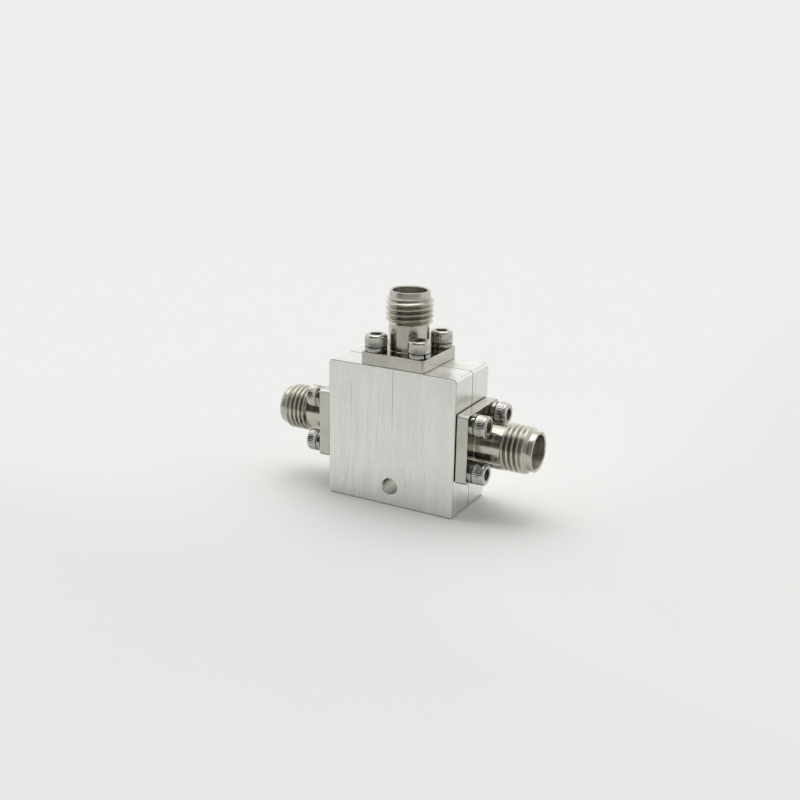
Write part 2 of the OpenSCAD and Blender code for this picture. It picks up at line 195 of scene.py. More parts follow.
GOLD = ((0.86, 0.62, 0.27), (0.92, 0.71, 0.36))
AMBER_PLASTIC = ((0.62, 0.52, 0.30), (0.72, 0.63, 0.40))
BLUE_GLASS = ((0.06, 0.11, 0.16), (0.14, 0.22, 0.28))
CERAMIC = ((0.80, 0.78, 0.73), (0.88, 0.865, 0.83))
CHIP_AND_PADS = ((0.05, 0.055, 0.07), (0.55, 0.43, 0.2))
ABSORBER = ((0.02, 0.02, 0.022), (0.07, 0.07, 0.072))

# The camera, as fitted to the photograph (its frame is 800 pixels wide)
FRAME_PX = 800
FOCAL_PX = 1075.534
SENSOR = 36
CAMERA_YAW = math.radians(28.344)
CAMERA_PITCH = math.radians(17.858)
CAMERA_ROLL = math.radians(1.017)
CAMERA_TARGET = Vector((-1.218, 0, 13.423)) * MM
CAMERA_DISTANCE = 146.686 * MM

# The room: light by degrees over the horizon, all round and in the opening with its dark column
TENT_LIGHT = ((0, 1.3), (12, 1.12), (24, 1.04), (36, 0.92), (48, 0.5), (60, 1.1), (74, 1.6), (90, 2.3))
OPENING_LIGHT = ((0, 0.37), (24, 0.33), (46, 0.3), (60, 0.36), (74, 0.65))
OPENING_YAW = math.radians(19)
OPENING_HALF = math.radians(65)
OPENING_SOFT = math.radians(12)
OPENING_TOP = 78
OPENING_TOP_SOFT = 7
SHADE_SIDE = -0.45
SHADE_SPAN = (0.16, 0.31)
SHADE_LEAST = 0.12
LAMP_YAW = math.radians(230)
LAMP_RISE = math.radians(67)
LAMP_SPAN = (math.radians(36), math.radians(20))
LAMP_LIGHT = 0.95
GROUND_LIGHT = 0.77
TABLE_LIGHT = 0.45
BACKDROP_SPAN = (-0.42, -0.17)
BACKDROP_LIGHT = (0.785, 0.86)
BACKDROP_COLOR = (1.0, 1.0, 0.992, 1)
FLOOR_R = 600 * MM
FLOOR_FADE = (80 * MM, 300 * MM)
FLOOR_FADE_FRONT = (-110 * MM, -60 * MM)
# Painted shade on the floor, in front and on the right
FLOOR_SHADE_FRONT = (-40 * MM, -12 * MM)
FLOOR_SHADE_RIGHT = (12 * MM, 45 * MM)
FLOOR_PALE = (0.88, 0.88, 0.87)
FLOOR_SHADED = (0.82, 0.82, 0.81)


# Meshes


def ring(bm, radius, z, steps):
    """Circle of new vertices round the z axis."""
    angles = [2 * math.pi * i / steps for i in range(steps)]
    return [bm.verts.new((radius * math.cos(a), radius * math.sin(a), z)) for a in angles]


def skin(bm, loops, material=0):
    """Quads between neighbouring loops that have as many vertices each."""
    for low, high in zip(loops, loops[1:]):
        for i in range(len(low)):
            j = (i + 1) % len(low)
            face = bm.faces.new((low[i], low[j], high[j], high[i]))
            face.material_index = material


def flat_face(bm, loops, material=0):
    """Flat face between an outline and its holes."""
    edges = []
    for loop in loops:
        for i, vert in enumerate(loop):
            after = loop[(i + 1) % len(loop)]
            edges.append(bm.edges.get((vert, after)) or bm.edges.new((vert, after)))
    made = bmesh.ops.triangle_fill(bm, edges=edges, use_beauty=True, use_dissolve=False)
    for item in made["geom"]:
        if isinstance(item, bmesh.types.BMFace):
            item.material_index = material


def helix(bm, row, pitch, z_from, z_to, steps, end_radius, material=0, phase=0.0, uncut=0.0):
    """Right-hand thread between two levels. Its rows of vertices climb along the thread.

    row lists (height within one pitch, radius) of the thread's section, and phase lifts it. The last
    length, uncut, stays a plain land. Both ends slope down to end_radius, where the ring of the plain
    part meets them once doubles are removed.
    """
    crest = max(radius for _, radius in row)
    turns = math.ceil((z_to - z_from) / pitch) + 3
    first = z_from + phase - 2 * pitch
    rows = [(first + turn * pitch + rise, radius) for turn in range(turns) for rise, radius in row]
    grid = []
    for start, radius in rows:
        line = []
        for i in range(steps):
            z = min(max(start + pitch * i / steps, z_from), z_to)
            land = min(crest, end_radius + LAND_SLOPE * (z - z_to + uncut)) if uncut else radius
            shoulder = end_radius + min(SHOULDER_SLOPE * (z - z_from), z_to - z)
            r = min(max(radius, land), shoulder)
            angle = 2 * math.pi * i / steps
            line.append(bm.verts.new((r * math.cos(angle), r * math.sin(angle), z)))
        grid.append(line)
    for j in range(len(grid) - 1):
        for i in range(steps):
            if i < steps - 1:
                corners = (grid[j][i], grid[j][i + 1], grid[j + 1][i + 1], grid[j + 1][i])
            elif j + 1 + len(row) < len(grid):
                corners = (grid[j][i], grid[j + len(row)][0], grid[j + 1 + len(row)][0], grid[j + 1][i])
            else:
                continue
            face = bm.faces.new(corners)
            face.material_index = material


def thread_row(pitch, crest_r, root_r, crest_round):
    """Section of a 60 degree thread over one pitch: its rounded crest is in the middle."""
    middle = pitch / 2
    half = []
    for degrees in (6, 24, 42, 60):
        a = math.radians(degrees)
        half.append((crest_round * math.sin(a), crest_r - crest_round * (1 - math.cos(a))))
    foot = half[-1][0] + (half[-1][1] - root_r) * math.tan(math.radians(30))
    soft = min(crest_round / 4, (middle - foot) * 0.8)
    half += [(foot - soft, root_r + soft), (foot + soft, root_r)]
    left = [(middle - x, r) for x, r in reversed(half)]
    right = [(middle + x, r) for x, r in half]
    return left + right


def finished(bm, name, materials, sharp_angle=40):
    """Closes a mesh into an object: doubles merged, normals outwards, flat faces kept flat."""
    bmesh.ops.remove_doubles(bm, verts=bm.verts, dist=MERGE_WITHIN)
    bmesh.ops.dissolve_degenerate(bm, edges=bm.edges, dist=MERGE_WITHIN)
    bmesh.ops.recalc_face_normals(bm, faces=bm.faces)
    mesh = bpy.data.meshes.new(name)
    bm.to_mesh(mesh)
    bm.free()
    mesh.polygons.foreach_set("use_smooth", [True] * len(mesh.polygons))
    mesh.set_sharp_from_angle(angle=math.radians(sharp_angle))
    for material in materials:
        mesh.materials.append(material)
    made = bpy.data.objects.new(name, mesh)
    bpy.context.scene.collection.objects.link(made)
    weigh = made.modifiers.new("flat_faces", "WEIGHTED_NORMAL")
    weigh.keep_sharp = True
    return made


def flange_loop(bm, inset, z):
    """Rounded square outline of the flange, drawn in by inset."""
    half = FLANGE_W / 2 - inset
    radius = max(FLANGE_CORNER_R - inset, FLANGE_LEAST_R)
    points = []
    for quarter in range(4):
        middle = math.radians(45 + 90 * quarter)
        cx = math.copysign(half - radius, math.cos(middle))
        cy = math.copysign(half - radius, math.sin(middle))
        for i in range(CORNER_STEPS + 1):
            a = math.radians(90 * quarter + 90 * i / CORNER_STEPS)
            points.append((cx + radius * math.cos(a), cy + radius * math.sin(a), z))
    return [bm.verts.new(p) for p in points]


def rounded_edge(radius, steps):
    """Insets and heights of a quarter round, from the side wall over to the flat."""
    angles = [math.pi / 2 * i / steps for i in range(steps + 1)]
    return [(radius * (1 - math.cos(a)), radius * math.sin(a)) for a in angles]


def flange_holes(bm, material):
    """The four screw holes of the flange, with broken edges."""
    levels = [
        (FLANGE_HOLE_R + HOLE_BREAK, FLANGE_T),
        (FLANGE_HOLE_R, FLANGE_T - HOLE_BREAK),
        (FLANGE_HOLE_R, HOLE_BREAK),
        (FLANGE_HOLE_R + HOLE_BREAK, 0),
    ]
    holes = []
    for x in (-1, 1):
        for y in (-1, 1):
            hole = [ring(bm, r, z, HOLE_STEPS) for r, z in levels]
            for vert in [v for loop in hole for v in loop]:
                vert.co.x += x * SCREW_PITCH / 2
                vert.co.y += y * SCREW_PITCH / 2
            skin(bm, hole, material)
            holes.append(hole)
    return holes


def jack_shape(port, materials):
    """Flange and barrel in one piece, with the mouth, the line's bore and the bead's seat."""
    polished, satin, bore = range(3)
    bm = bmesh.new()
    back_break = FLANGE_BACK_BREAK[port]
    sides = [flange_loop(bm, back_break, 0), flange_loop(bm, 0, back_break)]
    for inset, rise in rounded_edge(FLANGE_BREAK, 3):
        sides.append(flange_loop(bm, inset, FLANGE_T - FLANGE_BREAK + rise))
    skin(bm, sides, satin)
    holes = flange_holes(bm, satin)

    foot = []
    for inset, rise in rounded_edge(BARREL_FOOT, 3):
        foot.append((BARREL_R + BARREL_FOOT - rise, FLANGE_T + inset))
    lower = [ring(bm, r, z, BARREL_STEPS) for r, z in foot + [(BARREL_R, THREAD_BACK)]]
    skin(bm, lower, polished)
    row = thread_row(THREAD_PITCH, THREAD_R, THREAD_ROOT_R, THREAD_CREST_ROUND)
    phase, uncut = THREAD_PHASE[port], THREAD_UNCUT[port]
    helix(bm, row, THREAD_PITCH, THREAD_BACK, THREAD_FRONT, BARREL_STEPS, BARREL_R, polished, phase, uncut)
    collar = [
        (BARREL_R, THREAD_FRONT),
        (BARREL_R, MOUTH_Z - MOUTH_BEVEL),
        (BARREL_R - 0.3 * MOUTH_BEVEL, MOUTH_Z - 0.3 * MOUTH_BEVEL),
        (BARREL_R - MOUTH_BEVEL, MOUTH_Z),
        (MOUTH_R + MOUTH_BEVEL, MOUTH_Z),
        (MOUTH_R, MOUTH_Z - MOUTH_BEVEL),
    ]
    skin(bm, [ring(bm, r, z, BARREL_STEPS) for r, z in collar], polished)
    inside = [
        (MOUTH_R, MOUTH_Z - MOUTH_BEVEL),
        (MOUTH_R, MOUTH_Z - MOUTH_DEPTH),
        (LINE_R, MOUTH_Z - MOUTH_DEPTH),
        (LINE_R, BEAD_FRONT_Z),
        (BEAD_R, BEAD_FRONT_Z),
        (BEAD_R, 0),
    ]
    bores = [ring(bm, r, z, BARREL_STEPS) for r, z in inside]
    skin(bm, bores, bore)
    flat_face(bm, [sides[-1], lower[0]] + [hole[0] for hole in holes], polished)
    flat_face(bm, [sides[0], bores[-1]] + [hole[-1] for hole in holes], satin)
    return finished(bm, f"{port}_jack", materials)


def hexagon_radius(angle):
    """Distance from the middle of the hexagon socket to its wall."""
    from_flat = (angle + math.pi / 6) % (math.pi / 3) - math.pi / 6
    return HEX_AF / 2 / math.cos(from_flat)


def screw_mesh(length):
    """Socket-head screw with a knurled head standing on z = 0 and a threaded shank below it."""
    bm = bmesh.new()
    tooth = HEAD_STEPS // KNURL_TEETH

    def head_ring(radius, z, knurl=0.0):
        loop = ring(bm, radius, z, HEAD_STEPS)
        for i, vert in enumerate(loop):
            dip = abs(i % tooth - tooth / 2) / (tooth / 2)
            vert.co.xy *= 1 - knurl * KNURL_DEPTH * dip / radius
        return loop

    knurl_top = HEAD_H - HEAD_ROUND
    rows = [
        head_ring(HEAD_R - HEAD_FOOT, 0),
        head_ring(HEAD_R - 0.3 * HEAD_FOOT, 0.3 * HEAD_FOOT),
        head_ring(HEAD_R, HEAD_FOOT),
        head_ring(HEAD_R, HEAD_FOOT + KNURL_DEPTH, 1),
        head_ring(HEAD_R, knurl_top - 2 * KNURL_DEPTH, 1),
        head_ring(HEAD_R, knurl_top),
    ]
    for inset, rise in rounded_edge(HEAD_ROUND, 6)[1:]:
        rows.append(head_ring(HEAD_R - inset, knurl_top + rise))
    hex_corner = HEX_AF / math.sqrt(3)
    rows.append(head_ring(hex_corner + HEX_BEVEL, HEAD_H))
    skin(bm, rows)
    socket = [rows[-1]]
    for z in (HEAD_H - HEX_BEVEL, HEAD_H - HEX_DEPTH):
        loop = head_ring(hex_corner, z)
        for i, vert in enumerate(loop):
            vert.co.xy *= hexagon_radius(2 * math.pi * i / HEAD_STEPS) / hex_corner
        socket.append(loop)
    socket.append(head_ring(HEX_POINT_R, HEAD_H - HEX_DEPTH - HEX_POINT))
    skin(bm, socket, 1)
    bm.faces.new(socket[-1]).material_index = 1
    shank_end = -length + SHANK_BEVEL
    top = [(SHANK_R, 0), (SHANK_R, -SHANK_BEVEL), (SHANK_ROOT_R, -2 * SHANK_BEVEL)]
    upper = [ring(bm, r, z, SHANK_STEPS) for r, z in reversed(top)]
    skin(bm, upper)
    row = thread_row(SHANK_PITCH, SHANK_R, SHANK_ROOT_R, SHANK_PITCH / 8)
    helix(bm, row[1::2], SHANK_PITCH, shank_end, -2 * SHANK_BEVEL, SHANK_STEPS, SHANK_ROOT_R)
    tip = [ring(bm, SHANK_ROOT_R - SHANK_BEVEL / 2, -length, SHANK_STEPS)]
    tip.append(ring(bm, SHANK_ROOT_R, shank_end, SHANK_STEPS))
    skin(bm, tip)
    bm.faces.new(tip[0])
    flat_face(bm, [rows[0], upper[-1]])
    mesh = bpy.data.meshes.new("screw")
    bm.to_mesh(mesh)
    bm.free()
    return mesh


def screws(name, length, places, materials, turn=0.0):
    """Copies of the screw at the given places, fused into one object, each turned on from the last."""
    single = screw_mesh(length)
    bm = bmesh.new()
    for i, place in enumerate(places):
        turned = single.copy()
        turned.transform(place @ Matrix.Rotation(turn + HEX_TURN * i, 4, "Z"))
        bm.from_mesh(turned)
    return finished(bm, name, materials, 50)


def washer_section():
    """Section of the split washer's wire, (radius, z), with rounded outer edges."""
    r = WASHER_ROUND
    outer = [(HEAD_R - inset, WASHER_T - r + rise) for inset, rise in rounded_edge(r, 3)]
    lower = [(x, WASHER_T - z) for x, z in reversed(outer)]
    chamfer = r / 2
    inner = [
        (WASHER_HOLE_R + chamfer, WASHER_T),
        (WASHER_HOLE_R, WASHER_T - chamfer),
        (WASHER_HOLE_R, chamfer),
        (WASHER_HOLE_R + chamfer, 0),
    ]
    return lower + outer + inner


def lock_washers(name, places, materials):
    """One split ring at each place: its ends are cut on a slant and stand a gap apart."""
    bm = bmesh.new()
    section = washer_section()
    for i, place in enumerate(places):
        gap_angle = FIRST_GAP_ANGLE + i * GAP_TURN
        loops = []
        for step in range(WASHER_STEPS + 1):
            loop = []
            for r, z in section:
                half_gap = math.asin(WASHER_GAP / 2 / r)
                lean = -math.tan(WASHER_SLANT) * (z - WASHER_T / 2) / r
                angle = gap_angle + lean + half_gap + 2 * (math.pi - half_gap) * step / WASHER_STEPS
                loop.append(bm.verts.new(place @ Vector((r * math.cos(angle), r * math.sin(angle), z))))
            loops.append(loop)
        skin(bm, loops)
        bm.faces.new(loops[0])
        bm.faces.new(loops[-1])
    return finished(bm, name, materials)


# Material nodes


def add(tree, kind, inputs=None, **settings):
    """Adds a node, sets its properties and fills or links its inputs."""
    made = tree.nodes.new("ShaderNode" + kind)
    for key, value in settings.items():
        setattr(made, key, value)
    for key, value in (inputs or {}).items():
        if isinstance(value, bpy.types.NodeSocket):
            tree.links.new(value, made.inputs[key])
        else:
            made.inputs[key].default_value = value
    return made


def math_node(tree, operation, *values):
    """Result of a math node."""
    return add(tree, "Math", dict(enumerate(values)), operation=operation).outputs[0]


def times(tree, product, *factors):
    """Product of several numbers."""
    for factor in factors:
        product = math_node(tree, "MULTIPLY", product, factor)
    return product


def apart(tree, value, level):
    """How far a number is from a level."""
    return math_node(tree, "ABSOLUTE", math_node(tree, "SUBTRACT", value, level))


def vector_node(tree, operation, *values):
    """Result of a vector math node that gives a vector."""
    return add(tree, "VectorMath", dict(enumerate(values)), operation=operation).outputs["Vector"]


def measure(tree, operation, *values):
    """Result of a vector math node that gives a number, such as a length."""
    return add(tree, "VectorMath", dict(enumerate(values)), operation=operation).outputs["Value"]


def split(tree, vector):
    """The x, y and z of a vector."""
    return add(tree, "SeparateXYZ", {0: vector}).outputs[:]


def blend(tree, factor, first, second):
    """Number between two numbers."""
    return add(tree, "Mix", {"Factor": factor, 2: first, 3: second}, data_type="FLOAT").outputs[0]


def mix_colors(tree, factor, first, second):
    """Colour between two colours."""
    made = add(tree, "Mix", {"Factor": factor}, data_type="RGBA")
    for socket, value in ((made.inputs[6], first), (made.inputs[7], second)):
        if isinstance(value, bpy.types.NodeSocket):
            tree.links.new(value, socket)
        else:
            socket.default_value = (*value, 1)
    return made.outputs[2]


def mapped(tree, value, from_low, from_high, to_low, to_high, smooth=False):
    """Value carried from one range to another, and held at its ends."""
    kind = "SMOOTHSTEP" if smooth else "LINEAR"
    spans = {"Value": value, "From Min": from_low, "From Max": from_high}
    spans.update({"To Min": to_low, "To Max": to_high})
    return add(tree, "MapRange", spans, interpolation_type=kind).outputs[0]


def noise(tree, coordinates, scale, detail=2.0, roughness=0.5, scales=None):
    """Noise in object space. scales stretches it along each axis, in cycles per metre."""
    if scales:
        coordinates = add(tree, "Mapping", {"Vector": coordinates, "Scale": scales}).outputs[0]
    settings = {"Vector": coordinates, "Scale": scale, "Detail": detail, "Roughness": roughness}
    return add(tree, "TexNoise", settings).outputs["Fac"]


def mottled(tree, texture, first, second):
    """Colour that wanders between two colours as a noise texture does."""
    return mix_colors(tree, mapped(tree, texture, 0.35, 0.65, 0, 1), first, second)


def cells(tree, coordinates, scale, distance="EUCLIDEAN"):
    """Distance to the nearest of many scattered points."""
    settings = {"Vector": coordinates, "Scale": scale}
    return add(tree, "TexVoronoi", settings, distance=distance).outputs["Distance"]


def new_material(name, **surface):
    """Material with a principled surface, and its tree and object coordinates."""
    material = bpy.data.materials.new(name)
    material.use_nodes = True
    tree = material.node_tree
    shader = tree.nodes["Principled BSDF"]
    for key, value in surface.items():
        shader.inputs[key.replace("_", " ")].default_value = value
    coordinates = add(tree, "TexCoord").outputs["Object"]
    return material, tree, shader, coordinates


def set_surface(tree, shader, color, roughness):
    """Gives the surface its colour and roughness."""
    tree.links.new(color, shader.inputs["Base Color"])
    tree.links.new(roughness, shader.inputs["Roughness"])


def set_bump(tree, shader, height, distance):
    """Fine relief of the surface, with its depth in metres."""
    bump = add(tree, "Bump", {"Height": height, "Distance": distance, "Strength": 1.0})
    tree.links.new(bump.outputs[0], shader.inputs["Normal"])


def smear_along_axis(tree, shader):
    """Stretches reflections along the z axis, as the marks of a lathe do."""
    shader.inputs["Anisotropic"].default_value = 0.85
    shader.inputs["Anisotropic Rotation"].default_value = 0.25
    around = add(tree, "Tangent", direction_type="RADIAL", axis="Z").outputs[0]
    tree.links.new(around, shader.inputs["Tangent"])


# Materials


def brushed_aluminium():
    """Block: satin, brushed upright on its sides and along X on its top and bottom.

    The front face is worn smoother towards the right and has one long scratch. The foot and the broken
    edges carry dark lines of painted shade, and the joint between the halves shows as a dark line.
    """
    material, tree, shader, place = new_material("brushed_aluminium", Metallic=1.0, Anisotropic=0.5)
    across, inward, above = split(tree, place)
    _, normal_y, normal_z = split(tree, add(tree, "NewGeometry").outputs["Normal"])
    facing = math_node(tree, "ABSOLUTE", normal_y)
    level = math_node(tree, "GREATER_THAN", math_node(tree, "ABSOLUTE", normal_z), 0.7)

    def streaks(fine, along, detail=1.0, roughness=0.5):
        """Noise drawn out along the brushing, in cycles per metre across it and along it."""
        upright = add(tree, "Mapping", {"Vector": place, "Scale": (fine, fine, along)}).outputs[0]
        lying = add(tree, "Mapping", {"Vector": place, "Scale": (along, fine, fine)}).outputs[0]
        turned = add(tree, "Mix", {"Factor": level, 4: upright, 5: lying}, data_type="VECTOR")
        return noise(tree, turned.outputs[1], 1, detail, roughness)

    # Brushing, lessened where the front face is worn
    flat = math_node(tree, "GREATER_THAN", facing, 0.9)
    worn = times(tree, flat, mapped(tree, across, *WORN_SPAN, 0.1, 0.45))
    fine = blend(tree, 0.45, streaks(8000, 130), streaks(9000, 700))
    fine = blend(tree, worn, fine, 0.5)
    dark_streaks = mapped(tree, streaks(7200, 150, 1, 0.4), 0.68, 0.75, 0, 1)
    dark_streaks = times(tree, dark_streaks, math_node(tree, "SUBTRACT", 1, worn))
    tone = blend(tree, 0.2, fine, streaks(900, 40, 2))
    color = mix_colors(tree, mapped(tree, tone, 0.3, 0.7, 0, 1), *ALUMINIUM_GRAIN)
    color = mix_colors(tree, times(tree, dark_streaks, 0.5), color, ALUMINIUM_STREAK)
    # Darker towards the left of the top faces
    top_darker = times(tree, level, mapped(tree, across, *TOP_DARKER_SPAN, 0.45, 0))
    color = mix_colors(tree, top_darker, color, ALUMINIUM_TOP_DARKER)

    # The scratch, and painted shade along the foot
    in_front = math_node(tree, "LESS_THAN", inward, -HALF_D + 0.01 * MM)
    from_scratch = apart(tree, across, SCRATCH_X)
    scratch = mapped(tree, from_scratch, 0.5 * SCRATCH_HALF_W, SCRATCH_HALF_W, 0.75, 0)
    scratch = times(tree, scratch, mapped(tree, above, *SCRATCH_ENDS, 0.1, 1), in_front)
    color = mix_colors(tree, scratch, color, ALUMINIUM_SCRATCH)
    foot = times(tree, mapped(tree, facing, 0.5, 0.8, 0.85, 0.6), mapped(tree, above, *FOOT_LINE, 1, 0))
    color = mix_colors(tree, foot, color, FOOT_SHADE)

    # The bright bore of the mounting hole, and painted shade on the broken edges round the front and back
    # faces
    flat_place = vector_node(tree, "MULTIPLY", place, (1, 0, 1))
    from_hole = measure(tree, "DISTANCE", flat_place, (0, 0, HOLE_Z))
    bore = math_node(tree, "LESS_THAN", from_hole, HOLE_R + 0.01 * MM)
    color = mix_colors(tree, times(tree, bore, 0.8), color, ALUMINIUM_BORE)
    slanted = math_node(tree, "COMPARE", facing, 0.7, 0.25)
    aside = math_node(tree, "ABSOLUTE", across)
    past_flange = mapped(tree, aside, *PAST_FLANGE, 0.3, 1)
    outside_hole = math_node(tree, "GREATER_THAN", from_hole, 2 * HOLE_R)
    edges = times(tree, slanted, past_flange, mapped(tree, aside, *NEAR_SIDES, 1, 0.6), outside_hole)
    color = mix_colors(tree, edges, color, ALUMINIUM_EDGE_SHADE)

    # The joint, wider near the floor
    wider = mapped(tree, above, *WIDE_JOINT_TOP, WIDER_JOINT, 0)
    from_joint = math_node(tree, "SUBTRACT", math_node(tree, "ABSOLUTE", inward), wider)
    color = mix_colors(tree, mapped(tree, from_joint, *JOINT_LINE, 0.95, 0), color, JOINT_DARK)

    cloud = noise(tree, place, 260)
    rough = math_node(tree, "MULTIPLY_ADD", fine, 0.12, mapped(tree, cloud, 0.3, 0.7, 0.19, 0.26))
    set_surface(tree, shader, color, math_node(tree, "MULTIPLY_ADD", level, 0.08, rough))
    set_bump(tree, shader, math_node(tree, "SUBTRACT", fine, times(tree, dark_streaks, 0.5)), 0.003 * MM)
    return material


def jack_polished():
    """Turned outside of the jack: bright barrel, painted shade in the thread, a dark flange face and a
    duller lip.

    The threads carry painted shade in their roots, lighter where the side jacks' threads face up and
    towards the left on the top jack. The side jacks' threads carry a painted highlight, and the top jack's
    crests painted shade towards the right.
    """
    material, tree, shader, place = new_material("jack_polished", Metallic=1.0)
    smear_along_axis(tree, shader)
    height = split(tree, place)[2]
    radius = measure(tree, "LENGTH", vector_node(tree, "MULTIPLY", place, (1, 1, 0)))
    lip = mapped(tree, height, THREAD_FRONT - LIP_FADE, THREAD_FRONT, 0, 1)
    past_barrel = mapped(tree, height, THREAD_BACK + 0.5 * THREAD_SHADE_LEAD, THREAD_BACK + THREAD_SHADE_LEAD, 0, 1)
    thread = math_node(tree, "SUBTRACT", past_barrel, lip)
    flange = mapped(tree, height, FLANGE_T + 0.02 * MM, FLANGE_T + 0.1 * MM, 1, 0)

    geometry = add(tree, "NewGeometry")
    on_top = math_node(tree, "GREATER_THAN", split(tree, geometry.outputs["Position"])[2], BODY_H)
    facing_x, _, facing_z = split(tree, geometry.outputs["Normal"])
    to_right = mapped(tree, facing_x, -0.35, 0.3, 0.5, 1)
    # Painted shade in the thread roots, lighter where the side jacks' threads face up and towards the left
    # on the top jack
    shade_by_facing = blend(tree, on_top, mapped(tree, facing_z, 0.5, 0.85, 1, 0.45), to_right)
    in_root = mapped(tree, radius, THREAD_R - ROOT_SHADE_DEPTH, THREAD_R - UNSHADED_CREST, 1, 0)
    shade_to_back = mapped(tree, height, *THREAD_SHADE_FADE, 1, 0.45, smooth=True)
    thread_shade = times(tree, thread, in_root, shade_to_back, shade_by_facing, 0.8)
    # Painted shade on the top jack's crests, stronger to the right and towards the back
    crest_shade = times(tree, thread, mapped(tree, shade_to_back, 0.45, 1, 0, 0.3), on_top, to_right)
    # Painted highlight over the side jacks' threads, which shows on their crests
    crest_highlight = times(tree, thread, mapped(tree, on_top, 0, 1, 0.55, 0))

    turned = noise(tree, place, 1, 2, 0.6, (150, 150, 9000))
    cloud = noise(tree, place, 900, 3)
    color = mottled(tree, cloud, *JACK_TURNED)
    color = mix_colors(tree, crest_highlight, color, JACK_CREST_HIGHLIGHT)
    color = mix_colors(tree, times(tree, lip, on_top), color, JACK_LIP)
    color = mix_colors(tree, math_node(tree, "MAXIMUM", thread_shade, crest_shade), color, JACK_THREAD_SHADE)
    color = mix_colors(tree, times(tree, flange, 0.8), color, JACK_FLANGE_FACE)
    rough = mapped(tree, math_node(tree, "ADD", turned, cloud), 0.7, 1.3, 0.13, 0.22)
    rough = math_node(tree, "MULTIPLY_ADD", flange, -0.08, rough)
    rough = math_node(tree, "MULTIPLY_ADD", lip, mapped(tree, on_top, 0, 1, 0.04, 0.2), rough)
    set_surface(tree, shader, color, rough)
    tree.links.new(mapped(tree, flange, 0, 1, 0.85, 0), shader.inputs["Anisotropic"])
    set_bump(tree, shader, turned, 0.0012 * MM)
    return material


def jack_satin():
    """Milled edges and back of the flange: matt, with fine marks along the edge and a seat line of painted
    shade.

    The painted shade of the seat line is dark on the right side of the top flange and on the right flange,
    and faint elsewhere. On the side flanges the upper corners carry a painted highlight and the lower ones
    painted shade.
    """
    material, tree, shader, place = new_material("jack_satin", Metallic=1.0)
    height = split(tree, place)[2]
    geometry = add(tree, "NewGeometry")
    world_x = split(tree, geometry.outputs["Position"])[0]
    # Painted shade of the seat line where the flange stands on the block
    line_top = mapped(tree, world_x, *SEAT_WIDER_FROM, *SEAT_LINE)
    seat = mapped(tree, math_node(tree, "SUBTRACT", height, line_top), 0, SEAT_FADE, 1, 0)
    seat = times(tree, seat, mapped(tree, world_x, *SEAT_DARK_FROM, 0.1, 0.97))

    # Painted highlight on the upper corners of the side flanges, painted shade on their lower corners
    own_x, own_y, _ = split(tree, add(tree, "TexCoord").outputs["Normal"])
    slant = math_node(tree, "ABSOLUTE", times(tree, own_x, own_y))
    beside = math_node(tree, "GREATER_THAN", math_node(tree, "ABSOLUTE", world_x), BODY_W / 2)
    faces_up = split(tree, geometry.outputs["Normal"])[2]
    upper = math_node(tree, "GREATER_THAN", faces_up, 0)
    corner_highlight = times(tree, mapped(tree, slant, 0.1, 0.35, 0, 1), beside, upper)
    corner_shade = times(tree, mapped(tree, faces_up, -0.5, -0.3, 0.85, 0), beside)
    corner_shade = times(tree, corner_shade, mapped(tree, slant, 0.1, 0.3, 0, 1))

    cloud = noise(tree, place, 500)
    color = mottled(tree, cloud, *JACK_MILLED)
    color = mix_colors(tree, corner_highlight, color, JACK_CORNER_HIGHLIGHT)
    color = mix_colors(tree, corner_shade, color, JACK_CORNER_SHADE)
    color = mix_colors(tree, seat, color, SEAM_SHADE)
    marks = noise(tree, place, 1, 3, 0.6, (700, 700, 9000))
    rough = math_node(tree, "MULTIPLY_ADD", corner_highlight, 0.35, mapped(tree, marks, 0.3, 0.7, 0.18, 0.28))
    set_surface(tree, shader, color, rough)
    set_bump(tree, shader, marks, 0.001 * MM)
    return material


def jack_bore():
    """Bored inside of the jack: duller than the outside, and rougher low down in the side jacks."""
    material, tree, shader, place = new_material("jack_bore", Metallic=1.0)
    smear_along_axis(tree, shader)
    rings = noise(tree, place, 1, 2, 0.6, (100, 100, 4000))
    color = mottled(tree, rings, *JACK_BORED)
    world_z = split(tree, add(tree, "NewGeometry").outputs["Position"])[2]
    low = mapped(tree, world_z, SIDE_JACK_Z - 0.9 * MOUTH_R, SIDE_JACK_Z - 0.6 * MOUTH_R, 1, 0)
    rough = math_node(tree, "MULTIPLY_ADD", low, 0.4, mapped(tree, rings, 0.3, 0.7, 0.22, 0.28))
    set_surface(tree, shader, color, rough)
    set_bump(tree, shader, rings, 0.0002 * MM)
    return material


